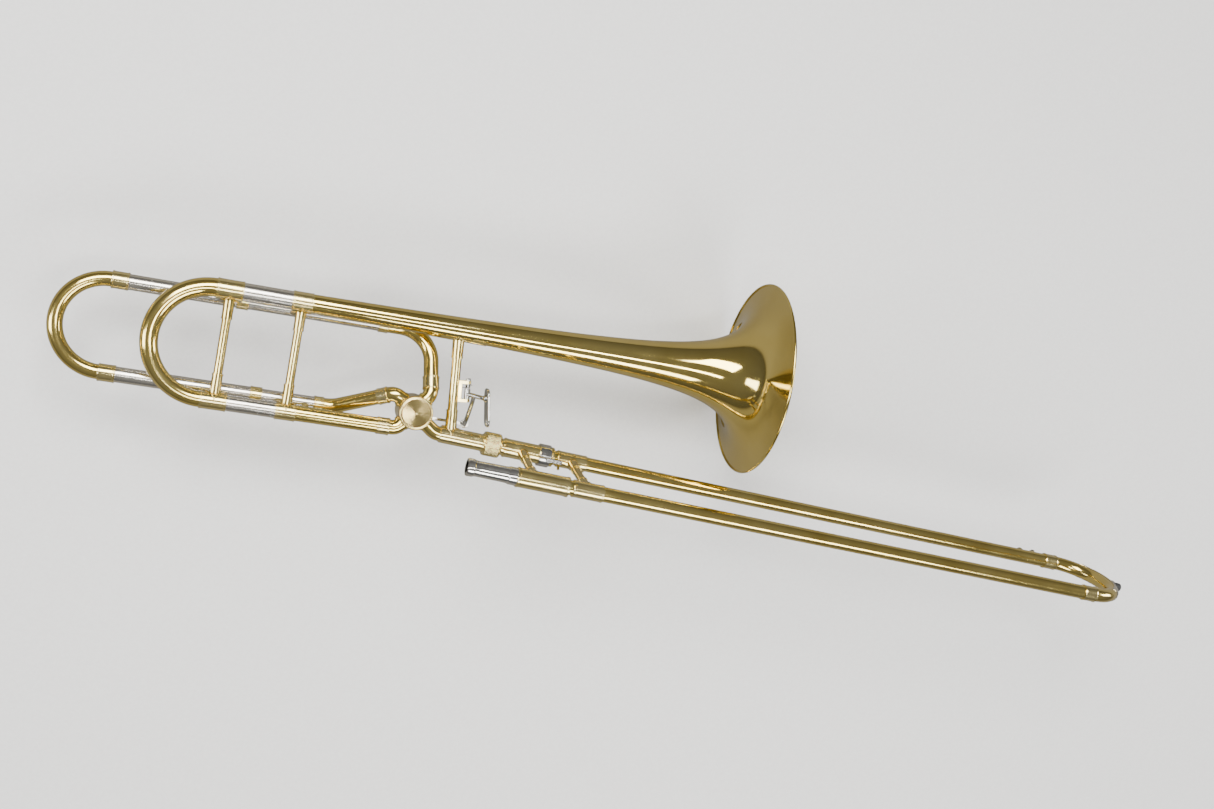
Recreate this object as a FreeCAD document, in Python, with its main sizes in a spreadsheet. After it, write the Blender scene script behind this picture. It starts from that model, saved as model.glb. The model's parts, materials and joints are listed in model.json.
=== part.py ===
import FreeCAD, Part
import Sketcher
import math
import os

from FreeCAD import Placement, Rotation, Vector

# Tenor trombone with an open-wrap F attachment, assembled with its hand slide.
#
# Frame: the origin is the centre of the bell's mouth, +X points out of the bell, +Z is up, and the
# bell section lies flat in the XY plane with the slide on its -Y side. Units are millimetres.

doc = FreeCAD.newDocument("trombone")

# ---------------------------------------------------------------------------------------------
# Driving dimensions
# ---------------------------------------------------------------------------------------------

SIZES = {
    # bell
    "rim_radius": 107.95,
    "rim_bead": 1.6,
    "bell_wall": 0.6,
    "bell_tail": 494,
    "flare_scale": 535.6,
    "flare_offset": 12.2,
    "flare_power": 0.64,
    # main tuning slide, drawn closed
    "leg_gap": 114,
    "bow_centre": 590,
    "sleeve_mouth": 563,
    "joint_ferrule": 514.6,
    "ferrule_wall": 0.75,
    "big_tube": 9.75,
    "small_tube": 8.3,
    "tube_wall": 0.45,
    "slide_fit": 0.05,
    "solder": 0.04,
    "tuning_leg": 64,
    # F attachment, which lies below the main tubing
    "wrap_drop": 27,
    "wrap_top": 9.7,
    "wrap_gap": 94.6,
    "wrap_tube": 7.75,
    "wrap_sleeve": 8.15,
    "wrap_bow_centre": 691,
    "wrap_mouth": 674,
    "wrap_sleeve_upper": 112,
    "wrap_sleeve_lower": 139,
    "wrap_leg": 96,
    "riser_end": 411,
    "bend_end": 465,
    # rotary valve
    "valve_back": 373.5,
    "valve_side": 94,
    "port_turn": 53,
    "casing_radius": 17.6,
    "rotor_radius": 15.2,
    "rotor_half": 15,
    "rotor_fit": 0.04,
    "passage": 5.4,
    "port_bore": 7,
    "port_collar": 9,
    "port_reach": 19.4,
    "knuckle": 7.9,
    "shaft": 3.5,
    "cap_radius": 18,
    # slide receiver and its nut
    "joint_back": 282,
    "joint_side": 117.3,
    "slide_angle": 3.5,
    "receiver_length": 61,
    "receiver_radius": 9.3,
    "socket_radius": 8.65,
    "nut_radius": 13.2,
    # braces
    "brace_rod": 4.5,
    "brace_socket": 19,
    "grip_rod": 5.1,
    "flange": 0.7,
    "diamond": 9.6,
    "bow_brace": 576,
    "neck_brace": 504.3,
    # hand brace, which leans back towards the bell
    "lean": 4.4,
    "grip_back": 334.75,
    "grip_side": 65.5,
    "grip_reach": 48.9475,
    # thumb lever and its link to the valve
    "hinge_out": 14,
    "hinge_up": 2,
    "lever_radius": 34.25,
    "link_level": 32,
    "link_line": 32.7,
    "ball_line": 38.3,
    "link_half": 6.01,
    "stop_reach": 8.5,
    # hand slide
    "slide_roll": 12,
    "slide_gap": 90,
    "bore_radius": 6.95,
    "inner_radius": 7.25,
    "stocking_radius": 7.5,
    "outer_bore": 7.55,
    "outer_radius": 8,
    "barrel_radius": 10.2,
    "barrel_bore": 8.8,
    "barrel_start": 11,
    "barrel_end": 66,
    "inner_end": 690,
    "outer_start": 47,
    "outer_end": 716,
    "mouth_radius": 6.35,
    "mouth_start": -42,
    "hand_brace": 31,
    "slide_brace": 88,
    "key_pivot": 700,
    "key_nipple": 722,
}

sheet = doc.addObject("Spreadsheet::Sheet", "Sizes")
for row, (alias, size) in enumerate(SIZES.items(), start=1):
    sheet.set(f"A{row}", alias)
    sheet.set(f"B{row}", str(size))
    sheet.setAlias(f"B{row}", alias)
doc.recompute()


def size(expression):
    """The value of an expression of the sheet, as a plain number."""
    found = sheet.evalExpression(expression)
    return float(getattr(found, "Value", found))


# ---------------------------------------------------------------------------------------------
# Placing
# ---------------------------------------------------------------------------------------------

YAW = -SIZES["slide_angle"]
TO_SLIDE = Rotation(Vector(0, 0, 1), YAW) * Rotation(Vector(1, 0, 0), SIZES["slide_roll"])
TO_BRACE = Rotation(Vector(0, 0, 1), SIZES["lean"])
TO_X = Rotation()
TO_Y = Rotation(Vector(0, 0, 1), 90)
TO_MINUS_Y = Rotation(Vector(0, 0, 1), -90)
TO_Z = Rotation(Vector(0, 1, 0), -90)
ALONG_X = Rotation()


def on_slide(along, up="0", across="0"):
    """A point given along, above and to the left of the slide's lower tube, whose plane leans outwards."""
    left = f"(({across}) * cos(slide_roll) - ({up}) * sin(slide_roll))"
    high = f"(({up}) * cos(slide_roll) + ({across}) * sin(slide_roll))"
    return (
        f"-joint_back + ({along}) * cos(slide_angle) + {left} * sin(slide_angle)",
        f"-joint_side - ({along}) * sin(slide_angle) + {left} * cos(slide_angle)",
        high,
    )


def named(expression):
    """Puts the sheet's name before every alias in an expression."""
    words, word = [], ""
    for letter in str(expression) + " ":
        if letter.isalnum() or letter in "_.":
            word += letter
            continue
        words.append("Sizes." + word if word in SIZES else word)
        words.append(letter)
        word = ""
    return "".join(words).strip()


def number(expression):
    return size(named(expression))


def point(at):
    return Vector(*[number(one) for one in at])


def shifted(at, direction, distance):
    """Expressions of a point moved along a direction by a distance."""
    return [f"({one}) + ({distance}) * ({step:.9f})" for one, step in zip(at, direction)]


def placed(base, frame, offset):
    """Expressions of a point given by an offset in a turned frame."""
    found = base
    for one, unit in zip(offset, ((1, 0, 0), (0, 1, 0), (0, 0, 1))):
        found = shifted(found, frame.multVec(Vector(*unit)), one)
    return found


def by_brace(out, left, up):
    """A point in the hand brace's frame: out towards the bell's mouth, left along the brace, and up."""
    return placed(("-grip_back", "-grip_side", "0"), TO_BRACE, (out, left, up))


def bind(thing, **sizes):
    for prop, expression in sizes.items():
        thing.setExpression(prop, named(expression))
    return thing


def put(thing, at=("0", "0", "0"), turn=TO_X):
    thing.Placement = Placement(point(at), turn)
    for axis, expression in zip("xyz", at):
        thing.setExpression(f"Placement.Base.{axis}", named(expression))
    return thing


# ---------------------------------------------------------------------------------------------
# Ways of making a piece
# ---------------------------------------------------------------------------------------------


def origin_plane(body, role):
    return next(item for item in body.Origin.OriginFeatures if item.Role == role)


def turned(label, profile, at, turn=TO_X):
    """A piece turned on a lathe: a closed profile of (along, radius) pairs, revolved round its own X axis."""
    body = doc.addObject("PartDesign::Body", label)
    sketch = body.newObject("Sketcher::SketchObject", label + "_profile")
    sketch.AttachmentSupport = [(origin_plane(body, "XY_Plane"), "")]
    sketch.MapMode = "FlatFace"
    corners = [Vector(number(along), number(radius), 0) for along, radius in profile]
    count = len(corners)
    for i, corner in enumerate(corners):
        sketch.addGeometry(Part.LineSegment(corner, corners[(i + 1) % count]), False)
    for i in range(count):
        sketch.addConstraint(Sketcher.Constraint("Coincident", i, 2, (i + 1) % count, 1))
    for i, (along, radius) in enumerate(profile):
        for kind, expression in (("DistanceX", along), ("DistanceY", radius)):
            value = number(expression)
            index = sketch.addConstraint(Sketcher.Constraint(kind, -1, 1, i, 1, value))
            sketch.setExpression(f"Constraints[{index}]", named(expression))
    feature = body.newObject("PartDesign::Revolution", label + "_turned")
    feature.Profile = sketch
    feature.ReferenceAxis = (sketch, ["H_Axis"])
    feature.Angle = 360
    sketch.Visibility = False
    return put(body, at, turn)


def tube(label, length, outer, inner, at, turn=TO_X):
    """A plain straight tube."""
    profile = [("0", inner), (length, inner), (length, outer), ("0", outer)]
    return turned(label, profile, at, turn)


def ring(label, length, inner, wall, at, turn=TO_X):
    """A ferrule: a short sleeve with a raised bead at each end."""
    outer = f"{inner} + {wall}"
    bead = f"{inner} + {wall} + 0.35"
    profile = [
        ("0", inner),
        (length, inner),
        (length, outer),
        (f"{length} - 0.5", bead),
        (f"{length} - 1.5", bead),
        (f"{length} - 2", outer),
        ("2", outer),
        ("1.5", bead),
        ("0.5", bead),
        ("0", outer),
    ]
    return turned(label, profile, at, turn)


def cylinder(label, radius, height, at, turn=TO_Z):
    """A solid cylinder whose axis leaves at in the direction that turn gives to X."""
    thing = doc.addObject("Part::Cylinder", label)
    bind(thing, Radius=radius, Height=height)
    return put(thing, at, turn * Rotation(Vector(0, 1, 0), 90))


def cone(label, first, last, height, at, turn=TO_Z):
    thing = doc.addObject("Part::Cone", label)
    bind(thing, Radius1=first, Radius2=last, Height=height)
    return put(thing, at, turn * Rotation(Vector(0, 1, 0), 90))


def box(label, long, wide, high, at, turn=TO_X):
    thing = doc.addObject("Part::Box", label)
    bind(thing, Length=long, Width=wide, Height=high)
    return put(thing, at, turn)


def cut(label, base, tool):
    thing = doc.addObject("Part::Cut", label)
    thing.Base, thing.Tool = base, tool
    return thing


def fuse(label, *shapes):
    thing = doc.addObject("Part::MultiFuse", label)
    thing.Shapes = list(shapes)
    return thing


def common(label, *shapes):
    thing = doc.addObject("Part::MultiCommon", label)
    thing.Shapes = list(shapes)
    return thing


def group(label, *pieces):
    """Identical or paired pieces kept as separate solids of one node."""
    thing = doc.addObject("Part::Compound", label)
    thing.Links = list(pieces)
    return thing


def feature(label, shape):
    """A piece whose shape is made directly, for curves that no feature of the document draws."""
    thing = doc.addObject("Part::Feature", label)
    thing.Shape = shape
    return thing


def half_bow(label, reach, first, last, wall, at, turn):
    """A half-circle bow in its own XY plane, opening towards +X, whose tube widens from first to last.

    The first end is at -Y and the last at +Y of the bow's centre.
    """

    def sweep(name, shrink):
        path = doc.addObject("Part::Circle", name + "_path")
        bind(path, Radius=reach, Angle1="90", Angle2="270")
        put(path, at, turn)
        ends = []
        for side, radius in (("-1", first), ("1", last)):
            circle = doc.addObject("Part::Circle", name + "_end")
            bind(circle, Radius=f"{radius} - {shrink}")
            centre = shifted(at, turn.multVec(Vector(0, float(side), 0)), reach)
            put(circle, centre, turn * Rotation(Vector(0, 1, 0), 90))
            ends.append(circle)
        made = doc.addObject("Part::Sweep", name)
        made.Sections = [ends[1], ends[0]]
        made.Spine = (path, ["Edge1"])
        made.Solid = True
        made.Frenet = False
        return made

    outside = sweep(label + "_outside", "0")
    inside = sweep(label + "_inside", wall)
    return cut(label, outside, inside)


def pipe(path, radius, wall):
    """A tube swept along a wire, as a shape."""
    start = path.Edges[0].valueAt(path.Edges[0].FirstParameter)
    direction = path.Edges[0].tangentAt(path.Edges[0].FirstParameter)
    shapes = []
    for reach in (radius, radius - wall):
        circle = Part.Wire([Part.makeCircle(reach, start, direction)])
        shapes.append(path.makePipeShell([circle], True, False))
    return shapes[0].cut(shapes[1])


def routed(points, radii):
    """Straight runs through points, rounded at each inner point by its own radius, as a wire."""
    edges, start = [], points[0]
    for before, corner, after, radius in zip(points, points[1:], points[2:], radii):
        arriving = (corner - before).normalize()
        leaving = (after - corner).normalize()
        half = arriving.getAngle(leaving) / 2
        reach = radius * math.tan(half)
        first, last = corner - arriving * reach, corner + leaving * reach
        inward = (leaving - arriving).normalize()
        middle = corner + inward * (radius / math.cos(half) - radius)
        if (first - start).Length > 0.001:
            edges.append(Part.makeLine(start, first))
        edges.append(Part.Arc(first, middle, last).toShape())
        start = last
    edges.append(Part.makeLine(start, points[-1]))
    return Part.Wire(edges)


def solid_rod(path, radius):
    """A solid round rod swept along a wire, as a shape."""
    start = path.Edges[0].valueAt(path.Edges[0].FirstParameter)
    direction = path.Edges[0].tangentAt(path.Edges[0].FirstParameter)
    circle = Part.Wire([Part.makeCircle(radius, start, direction)])
    return path.makePipeShell([circle], True, False)


def smooth(points, first, last):
    """A smooth curve through points that leaves along first and arrives along last, as a wire."""
    curve = Part.BSplineCurve()
    curve.interpolate(
        Points=points,
        InitialTangent=Vector(first).normalize(),
        FinalTangent=Vector(last).normalize(),
    )
    return Part.Wire([curve.toShape()])


# ---------------------------------------------------------------------------------------------
# Bell
# ---------------------------------------------------------------------------------------------


def flare_radius(back):
    """Outside radius of the bell at a distance behind its mouth: a horn whose radius falls as a power."""
    scale, offset, power = (SIZES[k] for k in ("flare_scale", "flare_offset", "flare_power"))
    return scale / (offset + back) ** power


def make_bell():
    tail, wall = SIZES["bell_tail"], SIZES["bell_wall"]
    rim, bead = SIZES["rim_radius"], SIZES["rim_bead"]
    steps = 18
    outside, inside = [], []
    for i in range(steps + 1):
        back = tail * (i / steps) ** 2.6
        radius = flare_radius(back)
        slope = (flare_radius(back + 0.01) - flare_radius(back - 0.01)) / 0.02
        normal = Vector(slope, 1, 0).normalize()
        outside.append(Vector(-back, radius, 0))
        inside.append(Vector(-back, radius, 0) - normal * wall)
    outside_edge, inside_edge = Part.BSplineCurve(), Part.BSplineCurve()
    outside_edge.interpolate(outside)
    inside_edge.interpolate(inside)
    outline = Part.Wire(
        [
            outside_edge.toShape(),
            Part.makeLine(outside[-1], inside[-1]),
            inside_edge.toShape(),
            Part.makeLine(inside[0], outside[0]),
        ]
    )
    axis = Vector(1, 0, 0)
    shell = Part.Face(outline).revolve(Vector(), axis, 360)
    if shell.Volume < 0:
        shell.reverse()
    groove = Part.makeTorus(rim - bead, bead, Vector(), axis)
    beyond = Part.makeCylinder(rim + 20, 30, Vector(-15, 0, 0), axis)
    beyond = beyond.cut(Part.makeCylinder(rim - bead, 30, Vector(-15, 0, 0), axis))
    feature("bell", shell.cut(groove).cut(beyond))


make_bell()
rim_wire = doc.addObject("Part::Torus", "bell_rim_wire")
bind(rim_wire, Radius1="rim_radius - rim_bead", Radius2="rim_bead")
put(rim_wire, ("0", "0", "0"), Rotation(Vector(0, 1, 0), 90))

# ---------------------------------------------------------------------------------------------
# Main tuning slide and the tubes it runs in
# ---------------------------------------------------------------------------------------------

sleeve_length = "sleeve_mouth - bell_tail"
upper_sleeve = ("-sleeve_mouth", "0", "0")
lower_sleeve = ("-sleeve_mouth", "-leg_gap", "0")
tube("tuning_sleeve_upper", sleeve_length, "big_tube", "big_tube - tube_wall", upper_sleeve)
tube("tuning_sleeve_lower", sleeve_length, "small_tube", "small_tube - tube_wall", lower_sleeve)
joint_length = "joint_ferrule - bell_tail"
group(
    "sleeve_ferrules",
    ring(
        "sleeve_ferrule_upper", joint_length, "big_tube + solder", "ferrule_wall",
        ("-joint_ferrule", "0", "0"),
    ),
    ring(
        "sleeve_ferrule_lower", joint_length, "small_tube + solder", "ferrule_wall",
        ("-joint_ferrule", "-leg_gap", "0"),
    ),
    ring("neck_ferrule", "13", "small_tube + solder", "ferrule_wall", ("-valve_back - 36", "-leg_gap", "0")),
)
tube(
    "neck_tube",
    "bell_tail - valve_back - 23",
    "small_tube",
    "small_tube - tube_wall",
    ("-bell_tail", "-leg_gap", "0"),
)

half_bow(
    "main_bow",
    "leg_gap / 2",
    "small_tube",
    "big_tube",
    "tube_wall",
    ("-bow_centre", "-leg_gap / 2", "0"),
    TO_X,
)
leg_length = "bow_centre - sleeve_mouth + tuning_leg"
group(
    "main_bow_legs",
    tube(
        "main_bow_leg_upper",
        leg_length,
        "big_tube - tube_wall - slide_fit",
        "big_tube - 2 * tube_wall - slide_fit",
        ("-bow_centre", "0", "0"),
    ),
    tube(
        "main_bow_leg_lower",
        leg_length,
        "small_tube - tube_wall - slide_fit",
        "small_tube - 2 * tube_wall - slide_fit",
        ("-bow_centre", "-leg_gap", "0"),
    ),
)
bow_collar = "bow_centre - sleeve_mouth - 0.3"
group(
    "main_bow_ferrules",
    ring(
        "main_bow_ferrule_upper",
        bow_collar,
        "big_tube - tube_wall - slide_fit + solder",
        "ferrule_wall + tube_wall + slide_fit",
        ("-bow_centre", "0", "0"),
    ),
    ring(
        "main_bow_ferrule_lower",
        bow_collar,
        "small_tube - tube_wall - slide_fit + solder",
        "ferrule_wall + tube_wall + slide_fit",
        ("-bow_centre", "-leg_gap", "0"),
    ),
)

# ---------------------------------------------------------------------------------------------
# Braces: a rod between two tapered sockets, each with a diamond flange that wraps the tube it joins
# ---------------------------------------------------------------------------------------------


def socket(label, foot, turn, radius, tube_turn, rod="brace_rod"):
    """One end of a brace: foot is on the tube's axis and turn gives X the way the brace leaves."""
    away = turn.multVec(Vector(1, 0, 0))
    along = tube_turn.multVec(Vector(1, 0, 0))
    tip = f"{radius} + brace_socket"
    post = cone(label + "_post", f"{rod} + 1.5", f"{rod} + 0.7", tip, foot, turn)
    bead = cylinder(label + "_bead", f"{rod} + 1.2", "1.6", shifted(foot, away, f"{tip} - 2"), turn)
    back = shifted(foot, along, "-20")
    wrap = cylinder(label + "_wrap", f"{radius} + flange", "40", back, tube_turn)
    diamond = doc.addObject("Part::Prism", label + "_diamond")
    diamond.Polygon = 4
    bind(diamond, Circumradius="diamond", Height="30")
    put(diamond, foot, turn * Rotation(Vector(0, 1, 0), 90))
    whole = fuse(label + "_whole", post, bead, common(label + "_flange", wrap, diamond))
    seat = cylinder(label + "_seat", radius, "40", back, tube_turn)
    hole = cylinder(label + "_hole", f"{rod} + solder", "60", shifted(foot, away, f"{radius} + 2"), turn)
    return cut(label, cut(label + "_seated", whole, seat), hole)


def brace(label, foot, turn, reach, first, last, tube_turn):
    """A brace between two parallel tubes whose axes are reach apart."""
    away = turn.multVec(Vector(1, 0, 0))
    back = turn * Rotation(Vector(0, 0, 1), 180)
    rod_start = shifted(foot, away, f"{first} + 2.2")
    rod = cylinder(label + "_rod", "brace_rod", f"({reach}) - ({first}) - ({last}) - 4.4", rod_start, turn)
    near = socket(label + "_near", foot, turn, first, tube_turn)
    far = socket(label + "_far", shifted(foot, away, reach), back, last, tube_turn)
    return group(label, near, rod, far)


big_collar = "big_tube + ferrule_wall + 0.45"
small_collar = "small_tube + ferrule_wall + 0.45"
brace("bow_brace", ("-bow_brace", "-leg_gap", "0"), TO_Y, "leg_gap", small_collar, big_collar, ALONG_X)
brace("neck_brace", ("-neck_brace", "-leg_gap", "0"), TO_Y, "leg_gap", small_collar, big_collar, ALONG_X)

brace_turn = TO_BRACE * TO_Y
receiver_foot = by_brace("0", "-grip_reach", "0")
socket("hand_brace_receiver", receiver_foot, brace_turn, "receiver_radius + solder", TO_SLIDE, "grip_rod")


def make_bell_foot():
    """The hand brace's end on the bell, with a long pointed flange shaped to the flare."""
    lean = math.radians(SIZES["lean"])
    out = SIZES["grip_side"] / math.cos(lean)
    base = Vector(-SIZES["grip_back"] - SIZES["grip_side"] * math.tan(lean), 0, 0)
    towards = Vector(math.sin(lean), -math.cos(lean), 0)

    def flare_solid(extra):
        corners = [Vector(base.x - 45, 0, 0)]
        for step in range(-45, 50, 5):
            place = base.x + step
            corners.append(Vector(place, flare_radius(-place) + extra, 0))
        corners.append(Vector(base.x + 45, 0, 0))
        edges = [Part.makeLine(corners[0], corners[1])]
        curve = Part.BSplineCurve()
        curve.interpolate(corners[1:-1])
        edges.append(curve.toShape())
        edges.append(Part.makeLine(corners[-2], corners[-1]))
        edges.append(Part.makeLine(corners[-1], corners[0]))
        return Part.Face(Part.Wire(edges)).revolve(Vector(), Vector(1, 0, 0), 360)

    inner, outer = flare_solid(SIZES["solder"]), flare_solid(SIZES["solder"] + SIZES["flange"])
    long_half, wide_half = 31, 9
    leaf = Part.makePolygon(
        [
            Vector(base.x - long_half, 0, 0),
            Vector(base.x - 9, 0, -wide_half * 0.55),
            Vector(base.x, 0, -wide_half),
            Vector(base.x + 9, 0, -wide_half * 0.55),
            Vector(base.x + long_half, 0, 0),
            Vector(base.x + 9, 0, wide_half * 0.55),
            Vector(base.x, 0, wide_half),
            Vector(base.x - 9, 0, wide_half * 0.55),
            Vector(base.x - long_half, 0, 0),
        ]
    )
    block = Part.Face(leaf).extrude(Vector(0, -30, 0))
    surface = flare_radius(-base.x)
    tip = surface + SIZES["brace_socket"]
    rod = SIZES["grip_rod"]
    post = Part.makeCone(rod + 1.5, rod + 0.7, tip, base, towards)
    bead = Part.makeCylinder(rod + 1.2, 1.6, base + towards * (tip - 2), towards)
    whole = outer.common(block).fuse([post, bead]).cut(inner)
    hole = Part.makeCylinder(rod + SIZES["solder"], 60, base + towards * (surface + 2), towards)
    feature("hand_brace_bell_foot", whole.cut(hole))
    return out


reach_to_bell = make_bell_foot()
hand_rod = cylinder(
    "hand_brace_rod",
    "grip_rod",
    f"grip_reach + {reach_to_bell:.4f} - receiver_radius - 2.2 - 14.9",
    by_brace("0", "-grip_reach + receiver_radius + 2.2", "0"),
    brace_turn,
)

# ---------------------------------------------------------------------------------------------
# Slide receiver and its nut
# ---------------------------------------------------------------------------------------------

receiver_profile = [
    ("-receiver_length", "knuckle - tube_wall"),
    ("-48", "knuckle - tube_wall"),
    ("-46", "socket_radius"),
    ("-0.6", "socket_radius"),
    ("-0.6", "receiver_radius + 0.6"),
    ("-14", "receiver_radius + 0.6"),
    ("-14.5", "receiver_radius"),
    ("1 - receiver_length", "receiver_radius"),
    ("-receiver_length", "receiver_radius - 0.8"),
]
turned("receiver_tube", receiver_profile, on_slide("0"), TO_SLIDE)

nut_profile = [
    ("-12.5", "receiver_radius + 0.65"),
    ("0", "receiver_radius + 0.65"),
    ("0", "9.05"),
    ("6.5", "9.05"),
    ("6.5", "nut_radius - 1.4"),
    ("5.4", "nut_radius"),
    ("-11.4", "nut_radius"),
    ("-12.5", "nut_radius - 1.4"),
]
turned("lock_nut", nut_profile, on_slide("0"), TO_SLIDE)

# ---------------------------------------------------------------------------------------------
# Rotary valve: four ports a quarter turn apart
# ---------------------------------------------------------------------------------------------

VALVE = ("-valve_back", "-valve_side", "0")


def at_valve(up, reach="0", degrees=0):
    direction = Rotation(Vector(0, 0, 1), degrees).multVec(Vector(1, 0, 0))
    found = shifted(VALVE, direction, reach)
    return (found[0], found[1], up)


PORTS = [SIZES["port_turn"] + 90 * i for i in range(4)]


def port_turn(degrees):
    return Rotation(Vector(0, 0, 1), degrees)


casing_profile = [
    ("-20", "rotor_radius + rotor_fit"),
    ("19", "rotor_radius + rotor_fit"),
    ("19", "casing_radius - 0.9"),
    ("12.8", "casing_radius - 0.9"),
    ("12.8", "casing_radius"),
    ("-18.8", "casing_radius"),
    ("-20", "casing_radius - 1.2"),
]
barrel = turned("casing_barrel", casing_profile, at_valve("0"), TO_Z)
collars = [
    cylinder(f"port_collar_{i}", "port_collar", "port_reach - 12", at_valve("0", "12", turn), port_turn(turn))
    for i, turn in enumerate(PORTS)
]
bores = [
    cylinder(f"port_bore_{i}", "port_bore", "30", at_valve("0", "8", turn), port_turn(turn))
    for i, turn in enumerate(PORTS)
]
seat_bore = "knuckle + solder"
seats = [
    cylinder(f"port_seat_{i}", seat_bore, "30", at_valve("0", "casing_radius", turn), port_turn(turn))
    for i, turn in enumerate(PORTS)
]
rotor_room = cylinder("rotor_room", "rotor_radius + rotor_fit", "44", at_valve("-22"), TO_Z)
cut("valve_casing", fuse("casing_whole", barrel, *collars), fuse("casing_holes", rotor_room, *bores, *seats))

blank_profile = [
    ("-28", "0"),
    ("18", "0"),
    ("18", "shaft"),
    ("rotor_half", "shaft"),
    ("rotor_half", "rotor_radius"),
    ("-rotor_half", "rotor_radius"),
    ("-rotor_half", "shaft"),
    ("-28", "shaft"),
]
blank = turned("rotor_blank", blank_profile, at_valve("0"), TO_Z)
passages = []
for i, turn in enumerate((PORTS[0] + 45, PORTS[2] + 45)):
    passage = doc.addObject("Part::Torus", f"rotor_passage_{i}")
    bind(passage, Radius1="rotor_radius", Radius2="passage")
    put(passage, at_valve("0", "rotor_radius * sqrt(2)", turn))
    passages.append(passage)
cut("rotor", blank, fuse("rotor_passages", *passages))

plate_profile = [
    ("rotor_half + 0.1", "shaft + 0.05"),
    ("17.8", "shaft + 0.05"),
    ("17.8", "rotor_radius"),
    ("rotor_half + 0.1", "rotor_radius"),
]
turned("bearing_plate", plate_profile, at_valve("0"), TO_Z)
floor_profile = [
    ("-22", "shaft + 0.05"),
    ("-rotor_half - 0.1", "shaft + 0.05"),
    ("-rotor_half - 0.1", "rotor_radius"),
    ("-20.2", "rotor_radius"),
    ("-20.2", "casing_radius - 0.4"),
    ("-21.6", "casing_radius - 0.8"),
    ("-22", "casing_radius - 1.4"),
]
turned("stop_plate", floor_profile, at_valve("0"), TO_Z)

cap_profile = [
    ("19.2", "0"),
    ("19.2", "casing_radius - 0.85"),
    ("13", "casing_radius - 0.85"),
    ("13", "cap_radius"),
    ("19.4", "cap_radius"),
    ("20.5", "cap_radius - 1"),
    ("20.7", "cap_radius - 1.8"),
    ("22.3", "1.4"),
    ("21.8", "0"),
]
turned("valve_cap", cap_profile, at_valve("0"), TO_Z)

STOP_TURN = 315 + SIZES["lean"]
hub_profile = [("-27", "shaft + 0.02"), ("-22.3", "shaft + 0.02"), ("-22.3", "5.4"), ("-27", "5.4")]
hub = turned("stop_hub", hub_profile, at_valve("0"), TO_Z)
eye = cylinder("stop_eye", "3.3", "3.7", at_valve("-27", "stop_reach", STOP_TURN), TO_Z)
tail_turn = port_turn(STOP_TURN + 180)
tail = box("stop_tail", "8", "4", "3.7", placed(at_valve("-27"), tail_turn, ("4.6", "-2", "0")), tail_turn)
screw = cylinder("stop_screw", "1.4", "8", at_valve("-34.6", "stop_reach", STOP_TURN), TO_Z)
screw_head = cylinder("stop_screw_head", "2.9", "1.2", at_valve("-35.6", "stop_reach", STOP_TURN), TO_Z)
shaft_room = cylinder("stop_shaft_room", "shaft + 0.02", "20", at_valve("-36"), TO_Z)
cut("stop_arm", fuse("stop_arm_whole", hub, eye, tail, screw, screw_head), shaft_room)
group(
    "stop_bumpers",
    *[
        cylinder(f"stop_bumper_{i}", "2.4", "4.8", at_valve("-27", "10.6", STOP_TURN + turn), TO_Z)
        for i, turn in enumerate((180 + 25.5, 90 - 25.5))
    ],
)


VALVE_CENTRE = Vector(-SIZES["valve_back"], -SIZES["valve_side"], 0)


def from_port(number_of_port, reach):
    """The point at a reach from the valve's axis along one of its ports."""
    angle = math.radians(PORTS[number_of_port])
    return VALVE_CENTRE + Vector(math.cos(angle), math.sin(angle), 0) * reach


def meeting(number_of_port, base, way):
    """Where a port's axis meets the line through base that runs along way, in the XY plane."""
    axis = from_port(number_of_port, 1) - VALVE_CENTRE
    gap = base - VALVE_CENTRE
    reach = (gap.x * way.y - gap.y * way.x) / (axis.x * way.y - axis.y * way.x)
    return VALVE_CENTRE + axis * reach


def make_knuckle(label, number_of_port, points, radii):
    """A bent tube that starts in one of the valve's ports and runs through the points."""
    start = from_port(number_of_port, SIZES["casing_radius"] + 0.1)
    return feature(label, pipe(routed([start, *points], radii), SIZES["knuckle"], SIZES["tube_wall"]))


slide_way = TO_SLIDE.multVec(Vector(1, 0, 0))
inlet_end = point(on_slide("-receiver_length - 0.1"))
inlet = make_knuckle("inlet_knuckle", 3, [meeting(3, inlet_end, slide_way), inlet_end], [14])
neck_end = Vector(-SIZES["valve_back"] - 22.9, -SIZES["leg_gap"], 0)
outlet = make_knuckle("outlet_knuckle", 2, [meeting(2, neck_end, Vector(1, 0, 0)), neck_end], [11])
group("valve_knuckles", inlet, outlet)

# ---------------------------------------------------------------------------------------------
# F attachment tubing
# ---------------------------------------------------------------------------------------------

wrap_upper = "-wrap_top"
wrap_lower = "-wrap_top - wrap_gap"
drop = "-wrap_drop"
bend_end = Vector(-SIZES["riser_end"], -SIZES["wrap_top"], -SIZES["wrap_drop"])
bend_corner = Vector(-SIZES["valve_back"] + 9, -SIZES["wrap_top"], -SIZES["wrap_drop"])
return_end = Vector(-SIZES["bend_end"], number(wrap_lower), -SIZES["wrap_drop"])
return_corner = return_end + Vector(9.5, 0, 0)
riser_corner, across_corner = from_port(0, 25.1), from_port(1, 27)
make_knuckle("wrap_bend", 0, [riser_corner, bend_corner, bend_end], [13, 36])
make_knuckle("wrap_return", 1, [across_corner, return_corner, return_end], [12, 30])


def ferrule_on(label, start, corner, clear, long):
    """A ferrule on the straight run between two corners of a bent tube, clear of the first one's bend."""
    way = (corner - start).normalize()
    foot = start + way * clear
    turn = Rotation(Vector(1, 0, 0), way)
    at = [f"{one:.6f}" for one in foot]
    return ring(label, long, "knuckle + solder", "ferrule_wall", at, turn)


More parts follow.
